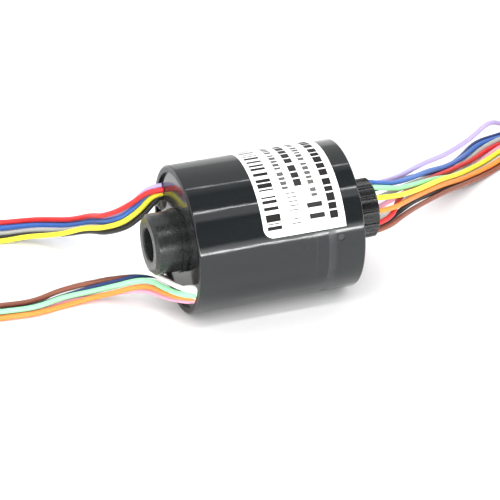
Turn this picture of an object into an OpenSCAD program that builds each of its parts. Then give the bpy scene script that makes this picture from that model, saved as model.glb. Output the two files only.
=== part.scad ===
// Through-bore slip ring with twelve circuits, lying on a table with its three lead sets coiled and tied.
// The rotor's axis is X, the origin is on it, midway along the housing, and the table is 11 mm below.
// Angles round the axis are counted from +Y towards +Z.

/* [Housing] */
// Outside diameter of the housing tube
housing_d = 22; // [21.9:0.1:22.4]
// Length of the housing tube
housing_len = 25.2; // [25.2:0.1:25.6]
// Rounding of the tube's two rims
rim_round = 0.3; // [0.1:0.05:0.35]

/* [Label] */
// Thickness of the label
label_t = 0.08; // [0.04:0.01:0.12]
// Lower edge on the front side, as an angle round the axis
label_low = 160; // [140:1:165]
// Lower edge on the far side, as an angle round the axis
label_high = 25; // [20:1:60]
// Near end of the label along the axis
label_x0 = -2.7; // [-4:0.1:-1]
// Far end of the label along the axis
label_x1 = 9.7; // [6:0.1:10]

/* [Rotor] */
// Diameter of the through bore
bore_d = 5; // [4.6:0.1:5.2]
// Distance of the hub's end face from the middle
hub_end = 17; // [15.5:0.1:18]
// Radius of one rib of the rear sleeve
rib_r = 0.75; // [0.6:0.05:0.75]

/* [Bearings] */
// Balls in each bearing
ball_count = 11; // [8:1:11]
// Diameter of a ball
ball_d = 1.6; // [1.4:0.1:1.6]

/* [Leads] */
// Diameter of one lead over its insulation
lead_d = 0.8; // [0.7:0.02:0.8]

/* [Hidden] */
$fn = 48;

housing_r = housing_d / 2;
housing_x = housing_len / 2;
cavity_r = 10;
bore_r = bore_d / 2;
table_z = -11;
// Covers: outer and inner faces of the plates
plate_out = 12.2;
plate_in = 11;
pin_x = 8.9;
pin_r = 0.5;
pin_angles = [48, 168, 288];
// Angles round the axis of the brush boards, and of the two windows that the leads leave through
board_angles = [20, 220];
exit_angles = [25, 216];
exit_at = 9;
window = [1.8, 2.9];
// Bearings, 9 x 14 x 4.5 mm
race_x = 8.75;
race_r = 0.85;
pitch_r = 5.75;
// Contact rings
ring_count = 12;
ring_pitch = 1;
fin_w = 0.4;
shaft_r = 4.5;
lead_pitch_r = 3.75;
lead_angles = [for (k = [0:11]) 12 + 30 * k];

// Colours
tube_grey = [0.20, 0.21, 0.21];
cover_grey = [0.24, 0.25, 0.25];
steel = [0.62, 0.62, 0.60];
black_plastic = [0.08, 0.08, 0.09];
barrel_blue = [0.12, 0.20, 0.34];
gold = [0.83, 0.66, 0.28];
board_green = [0.10, 0.35, 0.20];
paper = [0.96, 0.96, 0.95];
silicone = [0.88, 0.88, 0.86];
red = [0.90, 0.20, 0.20];
blue = [0.24, 0.43, 0.78];
grey = [0.70, 0.70, 0.68];
yellow = [0.96, 0.94, 0.26];
black = [0.14, 0.14, 0.13];
violet = [0.78, 0.72, 0.92];
white = [0.95, 0.95, 0.93];
navy = [0.13, 0.20, 0.42];
brown = [0.50, 0.30, 0.22];
pink = [0.95, 0.68, 0.76];
orange = [0.96, 0.58, 0.24];
mint = [0.62, 0.92, 0.70];

function ring_x(k) = (k - (ring_count - 1) / 2) * ring_pitch;

// ---- Lead routes ----
// A bundle's centre line is a row of points, and each lead in it has a lane: its offset to the side
// and upwards at a few stops, eased from one stop to the next.
coil_gap = 0.85;
front_heading = [-1, 0, 0];
rear_heading = [1, 0, 0];
upper_heading = [-0.97, 0.243, 0];

upper_line = [
  [-12.5, 8.16, 3.8], [-13.8, 8.8, 3.1], [-15.7, 9.9, 0.9], [-17.7, 11.4, -1.2], [-19.4, 14.2, -3.2],
  [-20.6, 18.2, -5.2], [-23, 22.2, -7.6], [-27, 26.8, -9.5], [-31.5, 29, -10.4], [-36.5, 30.4, -10.4],
  [-41, 31.5, -10.3]
];
upper_stops = [0, 3, 8, 9, 10];
lower_line = [
  [-12.5, -7.28, -5.29], [-13.9, -6.2, -5.3], [-15.2, -2.9, -5.8], [-16.3, 0, -6.1], [-18, 2.2, -6.8],
  [-20.6, 3.8, -7.8], [-24, 6, -9.3], [-28.2, 6.8, -10.2], [-33, 6.9, -10.4], [-38, 7, -10.4],
  [-43, 7, -10.4], [-50.5, 7, -10.3]
];
lower_stops = [0, 3, 6, 7, 8, 9, 10, 11];
rear_line = [
  [17.4, 0, 0], [19.2, 0.2, 0], [22.3, 1.9, -0.4], [27, 6.4, -2.2], [33.4, 13, -5.2], [39.8, 19.2, -8.3],
  [45.6, 23.8, -9.9], [50.5, 26.8, -10], [54, 28.8, -10.1], [58, 30.1, -10], [63, 30.4, -9.9]
];
rear_stops = [0, 3, 5, 7, 9, 10];

function polar(r, a) = [r * cos(a), r * sin(a)];
// Lanes in a window: angle of the window, then the offsets outwards and round the axis
function in_exit(a, out, round) = [out * cos(a) - round * sin(a), out * sin(a) + round * cos(a)];
function in_upper(out, round) = in_exit(exit_angles[0], out, round);
function in_lower(out, round) = in_exit(exit_angles[1], out, round);
function in_sleeve(a) = polar(lead_pitch_r, a);
function in_coil(i, up = 0) = [(i - 2.5) * coil_gap, up];

function unit(v) = v / norm(v);
function ease(s) = s * s * (3 - 2 * s);
function stop_before(stops, i, k = 0) =
  k + 2 >= len(stops) || i <= stops[k + 1] ? k : stop_before(stops, i, k + 1);
function lane_at(lane, stops, i) =
  let (k = stop_before(stops, i))
  let (s = ease((i - stops[k]) / (stops[k + 1] - stops[k])))
  lane[k] * (1 - s) + lane[k + 1] * s;
// The way the centre line runs at point i, from its neighbours
function heading(line, i, first, last) =
  i == 0 ? unit(first) : i == len(line) - 1 ? unit(last) : unit(line[i + 1] - line[i - 1]);
// One lead's own points: the side axis is level and points to +Y where the bundle runs along X
function lead_points(line, stops, lane, first, last, side_sign) = [
  for (i = [0:len(line) - 1])
    let (t = heading(line, i, first, last))
    let (side = unit(cross(t, [0, 0, 1])) * side_sign)
    let (up = cross(side, t) * side_sign)
    let (o = lane_at(lane, stops, i))
    line[i] + side * o[0] + up * o[1]
];
// Smooth curve through the points
function spline(a, b, c, d, t) =
  0.5 * (2 * b + (c - a) * t + (2 * a - 5 * b + 4 * c - d) * t * t + (3 * b - a - 3 * c + d) * t * t * t);
function with_ends(p, first, last) =
  let (n = len(p))
  concat([p[0] - unit(first) * norm(p[1] - p[0])], p, [p[n - 1] + unit(last) * norm(p[n - 1] - p[n - 2])]);
function curve(p, first, last, steps) =
  let (q = with_ends(p, first, last))
  concat(
    [for (i = [1:len(p) - 1], j = [0:steps - 1]) spline(q[i - 1], q[i], q[i + 1], q[i + 2], j / steps)],
    [p[len(p) - 1]]
  );

// ---- Helpers ----
// Revolves an outline of [radius, x] points about the axis
module turned(points) {
  rotate([0, 90, 0])
    rotate_extrude()
      polygon(points);
}

// The same over part of a turn, from one angle round the axis
module turned_part(from, sweep) {
  rotate([from + 90, 0, 0])
    rotate([0, 90, 0])
      rotate_extrude(angle = sweep)
        children();
}

// Rounded-rim tube outline of [radius, x]
module rim_outline(r_in, r_out, half, c) {
  polygon([
    [r_in, -half], [r_out - c, -half], [r_out, -half + c],
    [r_out, half - c], [r_out - c, half], [r_in, half]
  ]);
  translate([r_out - c, half - c])
    circle(c);
  translate([r_out - c, c - half])
    circle(c);
}

// A rod along X
module rod_x(r, x0, x1) {
  translate([x0, 0, 0])
    rotate([0, 90, 0])
      cylinder(r = r, h = x1 - x0);
}

// A straight wire in the plane across the axis: points are [sideways, outwards]
module wire_across(a, b, r) {
  d = b - a;
  translate([0, a[1], a[0]])
    rotate([atan2(-d[1], d[0]), 0, 0])
      cylinder(r = r, h = norm(d), $fn = 16);
}

// ---- Stator ----
module housing() {
  color(tube_grey)
    difference() {
      rotate([0, 90, 0])
        rotate_extrude()
          rim_outline(cavity_r, housing_r, housing_x, rim_round);
      for (a = pin_angles)
        rotate([a, 0, 0])
          translate([pin_x, 0, 0])
            rotate([-90, 0, 0])
              cylinder(r = pin_r, h = 14);
    }
}

module front_cover() {
  color(cover_grey)
    difference() {
      turned([
        [4.6, -plate_out], [cavity_r, -plate_out], [cavity_r, -plate_in], [7.8, -plate_in],
        [7.8, -6.5], [7, -6.5], [7, -plate_in], [6.1, -plate_in], [6.1, -11.3], [4.6, -11.3]
      ]);
      for (a = exit_angles)
        exit_window(a, -13, -plate_in);
    }
}

module rear_cover() {
  color(black_plastic)
    difference() {
      union() {
        turned([
          [4.6, plate_out], [cavity_r, plate_out], [cavity_r, plate_in], [7.8, plate_in],
          [7.8, 6.5], [7, 6.5], [7, plate_in], [6.1, plate_in], [6.1, 11.3], [4.6, 11.3]
        ]);
        intersection() {
          rod_x(cavity_r, 7.9, 11.5);
          for (a = pin_angles)
            rotate([a, 0, 0])
              translate([7.9, 7.6, -1.3])
                cube([3.6, 3, 2.6]);
        }
      }
      for (a = pin_angles)
        rotate([a, 0, 0])
          translate([pin_x, 8.8, 0])
            rotate([-90, 0, 0])
              cylinder(r = pin_r, h = 2);
    }
}

module cover_pins() {
  color(black_plastic)
    for (a = pin_angles)
      rotate([a, 0, 0])
        translate([pin_x, 8.8, 0])
          rotate([-90, 0, 0])
            cylinder(r = pin_r, h = 2.05);
}

// Wrapped half way round the tube, with rounded corners
module label() {
  corner = 1.5;
  color(paper)
    difference() {
      turned_part(label_high, label_low - label_high)
        translate([housing_r, label_x0])
          square([label_t, label_x1 - label_x0]);
      for (x = [label_x0, label_x1], a = [label_high, label_low])
        rotate([a, 0, 0])
          translate([x, 0, 0])
            rotate([-90, 0, 0])
              translate([0, 0, housing_r - 1])
                difference() {
                  translate([-corner, -corner, 0])
                    cube([2 * corner, 2 * corner, 2]);
                  translate([x < 0 ? corner : -corner, a < 90 ? -corner : corner, -1])
                    cylinder(r = corner, h = 4);
                }
    }
}

module bearing_outer(s) {
  color(steel)
    difference() {
      turned([
        [6.2, s * 6.5], [7, s * 6.5], [7, s * plate_in], [6.2, s * plate_in]
      ]);
      race(s);
    }
}

module bearing_inner(s) {
  color(steel)
    difference() {
      turned([
        [shaft_r, s * 6.5], [5.3, s * 6.5], [5.3, s * plate_in], [shaft_r, s * plate_in]
      ]);
      race(s);
    }
}

module race(s) {
  rotate([0, 90, 0])
    rotate_extrude()
      translate([pitch_r, s * race_x])
        circle(race_r);
}

module balls(s) {
  color(steel)
    for (k = [0:ball_count - 1])
      rotate([k * 360 / ball_count, 0, 0])
        translate([s * race_x, pitch_r, 0])
          sphere(d = ball_d, $fn = 24);
}

module cage(s) {
  color(black_plastic)
    difference() {
      turned([
        [5.5, s * race_x - 1.3], [6, s * race_x - 1.3], [6, s * race_x + 1.3], [5.5, s * race_x + 1.3]
      ]);
      for (k = [0:ball_count - 1])
        rotate([k * 360 / ball_count, 0, 0])
          translate([s * race_x, 4, 0])
            rotate([-90, 0, 0])
              cylinder(d = ball_d + 0.08, h = 4);
    }
}

module board(a) {
  color(board_green)
    rotate([a, 0, 0])
      translate([-plate_in, 8.6, -3])
        cube([2 * plate_in, 0.8, 6]);
}

module holder(a) {
  color(black_plastic)
    rotate([a, 0, 0])
      translate([-6.3, 7.7, -2])
        cube([12.6, 0.9, 4]);
}

// Each ring is gripped by the two prongs of a bent wire: one board serves the odd rings, one the even
module brushes(a, first) {
  color(gold)
    rotate([a, 0, 0])
      for (k = [first:2:ring_count - 1])
        translate([ring_x(k), 0, 0])
          for (s = [-1, 1]) {
            wire_across([s * 1.8, 8], [s * 5.85, 4.5], 0.125);
            wire_across([s * 5.85, 4.5], [s * 5.85, -1.5], 0.125);
            translate([0, 4.5, s * 5.85])
              sphere(r = 0.125, $fn = 16);
          }
}

// The window's outline, pushed through the plate: a slot with rounded corners, long way round the axis
module exit_window(a, x0, x1) {
  corner = 0.5;
  rotate([a, 0, 0])
    translate([x1, exit_at, 0])
      rotate([0, -90, 0])
        linear_extrude(x1 - x0)
          union() {
            square([window[1] - 2 * corner, window[0]], center = true);
            square([window[1], window[0] - 2 * corner], center = true);
            for (i = [-1, 1], j = [-1, 1])
              translate([i * (window[1] / 2 - corner), j * (window[0] / 2 - corner)])
                circle(corner);
          }
}

module seal(a, tint) {
  color(tint)
    exit_window(a, -12.5, -plate_in);
}

// ---- Rotor ----
module rotor_shaft() {
  color(black_plastic)
    difference() {
      turned([
        [bore_r + 0.2, -hub_end], [4, -hub_end], [shaft_r, 0.5 - hub_end], [shaft_r, -13.12],
        [4.2, -13.12], [4.2, -12.48], [shaft_r, -12.48], [shaft_r, 12.4], [3.75, 12.4],
        [3.75, 17.1], [bore_r + 0.2, 17.1], [bore_r, 16.9], [bore_r, 0.2 - hub_end]
      ]);
      for (k = [0:ring_count - 1])
        rotate([lead_angles[k], 0, 0]) {
          translate([0, lead_pitch_r, 0])
            rod_x(0.42, ring_x(k), 18);
          translate([ring_x(k), lead_pitch_r, -0.42])
            cube([18 - ring_x(k), 1.2, 0.84]);
        }
    }
}

module retaining_ring() {
  color(steel)
    turned_part(20, 320)
      translate([4.2, -13.1])
        square([0.55, 0.6]);
}

module insulator_barrel() {
  half = ring_count * ring_pitch / 2;
  color(barrel_blue)
    turned(concat(
      [[shaft_r, -half - 0.2]],
      [
        for (k = [0:ring_count])
          let (x = k * ring_pitch - half)
            each [[5.1, x - fin_w / 2], [6.6, x - fin_w / 2], [6.6, x + fin_w / 2], [5.1, x + fin_w / 2]]
      ],
      [[shaft_r, half + 0.2]]
    ));
}

module contact_rings() {
  color(gold)
    for (k = [0:ring_count - 1])
      translate([ring_x(k), 0, 0])
        turned([[5.1, -0.3], [6, -0.3], [5.7, 0], [6, 0.3], [5.1, 0.3]]);
}

module rotor_leads() {
  color(gold)
    for (k = [0:ring_count - 1])
      rotate([lead_angles[k], 0, 0])
        translate([0, lead_pitch_r, 0])
          rod_x(lead_d / 2, ring_x(k) + 0.3, 17.4);
}

// Shrunk over the twelve leads, so each one shows as a rib
module rear_sleeve() {
  end_r = 0.3;
  color(black_plastic)
    intersection() {
      translate([12.5, 0, 0])
        rotate([0, 90, 0])
          linear_extrude(4.9)
            difference() {
              union() {
                circle(4.15);
                for (a = lead_angles)
                  rotate(a + 90)
                    translate([lead_pitch_r, 0])
                      circle(rib_r, $fn = 32);
              }
              circle(3.8);
              for (a = lead_angles)
                rotate(a + 90)
                  translate([lead_pitch_r, 0])
                    circle(0.43, $fn = 32);
            }
      turned([
        [3, 12.5], [4.5 - end_r, 12.5], [4.52, 12.5 + end_r],
        [4.52, 17.4 - end_r], [4.5 - end_r, 17.4], [3, 17.4]
      ]);
    }
}

// ---- Leads, coils and ties ----
// One lead: a tube of eight sides along its curve, from flat end to flat end
module lead(line, stops, lane, first, last, side_sign, steps) {
  sides = 8;
  c = curve(lead_points(line, stops, lane, first, last, side_sign), first, last, steps);
  n = len(c);
  rings = [
    for (i = [0:n - 1])
      let (t = heading(c, i, first, last))
      let (u = unit(cross(t, [0, 0, 1])))
      let (v = cross(u, t))
      for (j = [0:sides - 1])
        let (q = polar(lead_d / 2, j * 360 / sides))
        c[i] + u * q[0] + v * q[1]
  ];
  walls = [
    for (i = [0:n - 2], j = [0:sides - 1])
      let (a = i * sides + j)
      let (b = i * sides + (j + 1) % sides)
      each [[a, b, a + sides], [b, b + sides, a + sides]]
  ];
  near = [for (j = [sides - 1:-1:0]) j];
  far = [for (j = [0:sides - 1]) (n - 1) * sides + j];
  polyhedron(rings, concat([near], walls, [far]), convexity = 10);
}

module upper_lead(lane, tint) {
  color(tint)
    lead(upper_line, upper_stops, lane, front_heading, upper_heading, 1, 2);
}

module lower_lead(lane, tint) {
  color(tint)
    lead(lower_line, lower_stops, lane, front_heading, front_heading, 1, 2);
}

module rear_lead(lane, tint) {
  color(tint)
    lead(rear_line, rear_stops, lane, rear_heading, rear_heading, -1, 3);
}

module upper_red_lead() {
  upper_lead([in_upper(-0.42, 0.86), [-0.1, 1], [1.45, 0.62], [1.3, 0.62], in_coil(4)], red);
}

module upper_blue_lead() {
  upper_lead([in_upper(0.42, 0), [0.3, -0.15], [1, -0.1], [0.3, -0.1], in_coil(3)], blue);
}

module upper_grey_lead() {
  upper_lead([in_upper(0.42, -0.86), [0.5, -1.05], [-0.95, -0.1], [-0.9, -0.1], in_coil(2)], grey);
}

module upper_yellow_lead() {
  upper_lead([in_upper(-0.42, 0), [-0.35, -0.8], [-3.1, -0.1], [-2.9, -0.1], in_coil(0)], yellow);
}

module upper_black_lead() {
  upper_lead([in_upper(-0.42, -0.86), [0, -1.75], [-2.1, -0.1], [-1.9, -0.1], in_coil(1)], black);
}

module upper_violet_lead() {
  upper_lead([in_upper(0.42, 0.86), [0.75, 0.6], [1.9, -0.1], [2.3, -0.1], in_coil(5)], violet);
}

module lower_white_lead() {
  lower_lead([
    in_lower(-0.42, -0.86), [0.2, 1], [1.35, 1.15], [1.6, 0.3],
    [-0.2, -0.1], [0.1, -0.1], [1.75, -0.1], in_coil(5)
  ], white);
}

module lower_navy_lead() {
  lower_lead([
    in_lower(-0.42, 0), [1, 0.3], [0.35, -0.1], [-0.1, -0.1],
    [-1.1, -0.1], [-0.9, -0.1], [-0.05, -0.1], in_coil(3)
  ], navy);
}

module lower_brown_lead() {
  lower_lead([
    in_lower(-0.42, 0.86), [1.8, -0.1], [1.15, 0.3], [0.25, 0.87],
    [-0.65, 0.62], [-0.4, 0.62], [0.85, 0.62], in_coil(4)
  ], brown);
}

module lower_pink_lead() {
  lower_lead([
    in_lower(0.42, 0.86), [-0.4, -1.75], [-0.55, -1.15], [-1.1, -0.42],
    [-2, -0.1], [-1.8, -0.1], [-0.95, -0.1], in_coil(2)
  ], pink);
}

module lower_orange_lead() {
  lower_lead([
    in_lower(0.42, 0), [-0.6, -0.85], [-1.35, -0.83], [-2.1, -0.4],
    [-3, -0.1], [-2.8, -0.1], [-2.85, -0.1], in_coil(0)
  ], orange);
}

module lower_green_lead() {
  lower_lead([
    in_lower(0.42, -0.86), [-0.5, 0.1], [-0.5, -0.2], [-1.2, 0.45],
    [-2.45, 0.62], [-2.25, 0.62], [-1.9, 0.62], in_coil(1)
  ], mint);
}

module rear_navy_lead() {
  rear_lead([in_sleeve(12), [3, 0.7], [2.9, -0.2], [5.2, -0.4], [3.6, -0.44], in_coil(5, -0.44)], navy);
}

module rear_violet_lead() {
  rear_lead([in_sleeve(42), [2.5, 1.7], [2.6, 2.6], [2.8, 4], [3, 0.6], in_coil(5, 0.44)], violet);
}

module rear_blue_lead() {
  rear_lead([in_sleeve(72), [0.9, 1.6], [2.15, 0.75], [4.45, -0.4], [2.7, -0.44], in_coil(4, -0.44)], blue);
}

module rear_green_lead() {
  rear_lead([
    in_sleeve(102), [-0.25, 1], [0.6, -0.45],
    [0.15, -0.4], [-0.9, -0.44], in_coil(2, -0.44)
  ], mint);
}

module rear_yellow_lead() {
  rear_lead([
    in_sleeve(132), [-1.1, 0.5], [-0.25, 0.1],
    [-0.28, 0.42], [-0.95, 0.44], in_coil(2, 0.44)
  ], yellow);
}

module rear_orange_lead() {
  rear_lead([
    in_sleeve(162), [-1.1, -0.45], [-1, -0.5],
    [-1.97, 0.42], [-3.2, 0.44], in_coil(0, 0.44)
  ], orange);
}

module rear_red_lead() {
  rear_lead([in_sleeve(192), [0.6, 0.1], [1.45, 0.25], [2.4, -0.4], [1, -0.44], in_coil(3, -0.44)], red);
}

module rear_brown_lead() {
  rear_lead([
    in_sleeve(222), [-1.5, -1.95], [-1.9, -1],
    [-2.4, -0.4], [-3.4, -0.44], in_coil(0, -0.44)
  ], brown);
}

module rear_black_lead() {
  rear_lead([
    in_sleeve(252), [-0.75, -1.35], [-1.05, -1.35],
    [-1.55, -0.4], [-2.55, -0.44], in_coil(1, -0.44)
  ], black);
}

module rear_white_lead() {
  rear_lead([
    in_sleeve(282), [0.3, -1.2], [-0.1, -1.05],
    [-0.7, -0.4], [-1.95, 0.44], in_coil(1, 0.44)
  ], white);
}

module rear_pink_lead() {
  rear_lead([in_sleeve(312), [1.2, -0.65], [1.1, -1.35], [1.3, -0.4], [0, 0.44], in_coil(3, 0.44)], pink);
}

module rear_grey_lead() {
  rear_lead([in_sleeve(342), [1.55, 0.2], [2.1, -0.5], [3.3, -0.4], [1.9, 0.44], in_coil(4, 0.44)], grey);
}

// A bundle wound flat into a ring: the leads meet its short straight tail face to face
module coil(from, first, turn, r, heights, tail_z, tail_h) {
  at_coil(from, first, turn, r)
    rotate_extrude()
      coil_section(r, heights);
  at_coil(from, first, turn, r)
    translate([-tail, -turn * r - lane_half, tail_z])
      cube([tail, 2 * lane_half, tail_h]);
}

// A short band round the coil's section, standing on the table
module tie(from, first, turn, r, heights, at, sweep) {
  at_coil(from, first, turn, r)
    rotate([0, 0, at - sweep / 2])
      rotate_extrude(angle = sweep)
        difference() {
          polygon([
            [r - coil_half - band, table_z], [r + coil_half + band, table_z],
            [r + coil_half + band, table_z + heights[1] + 2 * band],
            [r - coil_half - band, table_z + heights[0] + 2 * band]
          ]);
          coil_section(r, heights);
        }
}

// Places its child on the coil's axis, with the bundle's last heading along +X
module at_coil(from, first, turn, r) {
  translate([from[0], from[1], 0])
    rotate([0, 0, atan2(first[1], first[0])])
      translate([tail, turn * r, 0])
        children();
}

module coil_section(r, heights) {
  polygon([
    [r - coil_half, table_z + band], [r + coil_half, table_z + band],
    [r + coil_half, table_z + band + heights[1]], [r - coil_half, table_z + band + heights[0]]
  ]);
}

coil_half = 2.6;
lane_half = 2.55;
tail = 3;
band = 0.3;
front_r = 8;
rear_r = 10;
front_heights = [5.2, 3.4];
rear_heights = [8.2, 5.9];

module upper_coil() {
  color(grey)
    coil(upper_line[10], upper_heading, 1, front_r, front_heights, -10.7, 0.8);
}

module lower_coil() {
  color(grey)
    coil(lower_line[11], front_heading, 1, front_r, front_heights, -10.7, 0.8);
}

module rear_coil() {
  color(grey)
    coil(rear_line[10], rear_heading, -1, rear_r, rear_heights, -10.75, 1.7);
}

module upper_tie() {
  color(black_plastic)
    tie(upper_line[10], upper_heading, 1, front_r, front_heights, 60, 14);
}

module lower_tie() {
  color(black_plastic)
    tie(lower_line[11], front_heading, 1, front_r, front_heights, 60, 14);
}

module rear_tie() {
  color(black_plastic)
    tie(rear_line[10], rear_heading, -1, rear_r, rear_heights, -120, 12);
}

module front_bearing_outer() {
  bearing_outer(-1);
}

module rear_bearing_outer() {
  bearing_outer(1);
}

module front_bearing_inner() {
  bearing_inner(-1);
}

module rear_bearing_inner() {
  bearing_inner(1);
}

module front_balls() {
  balls(-1);
}

module rear_balls() {
  balls(1);
}

module front_cage() {
  cage(-1);
}

module rear_cage() {
  cage(1);
}

module upper_board() {
  board(board_angles[0]);
}

module lower_board() {
  board(board_angles[1]);
}

module upper_holder() {
  holder(board_angles[0]);
}

module lower_holder() {
  holder(board_angles[1]);
}

module upper_brushes() {
  brushes(board_angles[0], 0);
}

module lower_brushes() {
  brushes(board_angles[1], 1);
}

module upper_seal() {
  seal(exit_angles[0], black_plastic);
}

module lower_seal() {
  seal(exit_angles[1], silicone);
}

housing();
front_cover();
rear_cover();
cover_pins();
label();
front_bearing_outer();
rear_bearing_outer();
upper_board();
lower_board();
upper_holder();
lower_holder();
upper_brushes();
lower_brushes();
upper_seal();
lower_seal();
rotor_shaft();
retaining_ring();
insulator_barrel();
contact_rings();
rotor_leads();
rear_sleeve();
front_bearing_inner();
rear_bearing_inner();
front_balls();
front_cage();
rear_balls();
rear_cage();
upper_red_lead();
upper_blue_lead();
upper_grey_lead();
upper_yellow_lead();
upper_black_lead();
upper_violet_lead();
lower_white_lead();
lower_navy_lead();
lower_brown_lead();
lower_pink_lead();
lower_orange_lead();
lower_green_lead();
rear_red_lead();
rear_blue_lead();
rear_grey_lead();
rear_yellow_lead();
rear_black_lead();
rear_violet_lead();
rear_white_lead();
rear_navy_lead();
rear_brown_lead();
rear_pink_lead();
rear_orange_lead();
rear_green_lead();
upper_coil();
lower_coil();
rear_coil();
upper_tie();
lower_tie();
rear_tie();
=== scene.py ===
"""A through-bore slip ring with twelve circuits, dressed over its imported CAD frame.

The CAD frame holds every rigid piece. This script makes the camera and the light, lays the leads
with their coils, prints the label, seals the two windows and gives each surface its finish.
Sizes are in millimetres and angles in degrees, unless a comment says otherwise.
"""

import logging
import math
from dataclasses import dataclass
from enum import Enum
from typing import ClassVar, Sequence

import bmesh
import bpy
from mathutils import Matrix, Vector, noise


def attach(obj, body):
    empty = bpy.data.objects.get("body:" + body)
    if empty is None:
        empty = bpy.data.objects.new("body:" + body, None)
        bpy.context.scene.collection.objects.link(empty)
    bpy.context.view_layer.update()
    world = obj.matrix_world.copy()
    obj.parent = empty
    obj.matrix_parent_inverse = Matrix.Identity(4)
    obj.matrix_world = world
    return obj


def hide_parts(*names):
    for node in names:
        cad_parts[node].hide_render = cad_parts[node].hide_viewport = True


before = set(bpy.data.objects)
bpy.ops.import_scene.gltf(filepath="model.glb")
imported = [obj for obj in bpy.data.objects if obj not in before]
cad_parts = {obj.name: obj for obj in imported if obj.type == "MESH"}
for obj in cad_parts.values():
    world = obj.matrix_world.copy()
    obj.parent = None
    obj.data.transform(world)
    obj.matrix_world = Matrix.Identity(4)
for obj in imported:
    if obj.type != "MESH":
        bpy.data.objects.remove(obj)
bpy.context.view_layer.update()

logging.basicConfig(level=logging.INFO, format="%(name)s: %(message)s")
LOG = logging.getLogger("slip_ring")

Point = tuple[float, float, float]
Lane = tuple[float, float]
Rgb = tuple[int, int, int]
Rgba = tuple[float, float, float, float]
Socket = bpy.types.NodeSocket

MM = 0.001
LEAD_DIAMETER = 0.8
LEAD_LENGTH = 250.0
STRIPPED = 5.0

# Levels in a mask, as ramp colours
NONE: Rgba = (0.0, 0.0, 0.0, 1.0)
HALF: Rgba = (0.5, 0.5, 0.5, 1.0)
FULL: Rgba = (1.0, 1.0, 1.0, 1.0)

# Where the dark and the light tone lie on a noise
DARK_AT, LIGHT_AT = 0.3, 0.7


class Body(str, Enum):
    """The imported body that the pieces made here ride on."""

    STATOR = "stator"


class Slot(str, Enum):
    """The names of the record's material slots; nothing here uses them."""

    HOUSING = "housing"
    LABEL = "label"
    SILICONE = "silicone"
    STEEL = "steel"


def to_linear(rgb: Sequence[int], factor: float = 1.0) -> Rgba:
    """Turns a display colour into the linear colour that a shader takes.

    Args:
        rgb: Red, green and blue, 0 to 255.
        factor: Makes the linear colour darker or lighter.

    Returns:
        The linear colour with an alpha of one.
    """
    channels = [value / 255.0 for value in rgb]
    linear = [c / 12.92 if c <= 0.04045 else ((c + 0.055) / 1.055) ** 2.4 for c in channels]
    return (linear[0] * factor, linear[1] * factor, linear[2] * factor, 1.0)


def turn(along: float, across: float, degrees: float) -> Lane:
    """Turns a flat pair of offsets round the origin.

    Args:
        along: The offset along the turned first axis.
        across: The offset along the turned second axis.
        degrees: The angle of the turned first axis.

    Returns:
        The pair in the unturned axes.
    """
    c, s = math.cos(math.radians(degrees)), math.sin(math.radians(degrees))
    return (along * c - across * s, along * s + across * c)


def add_object(name: str, data: bpy.types.ID) -> bpy.types.Object:
    """Links a new object to the scene and reports it.

    Args:
        name: The object's name.
        data: Its mesh, curve, light or camera.

    Returns:
        The object, at the origin.
    """
    made = bpy.data.objects.new(name, data)
    bpy.context.scene.collection.objects.link(made)
    LOG.info("made %s", name)
    return made


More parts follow.
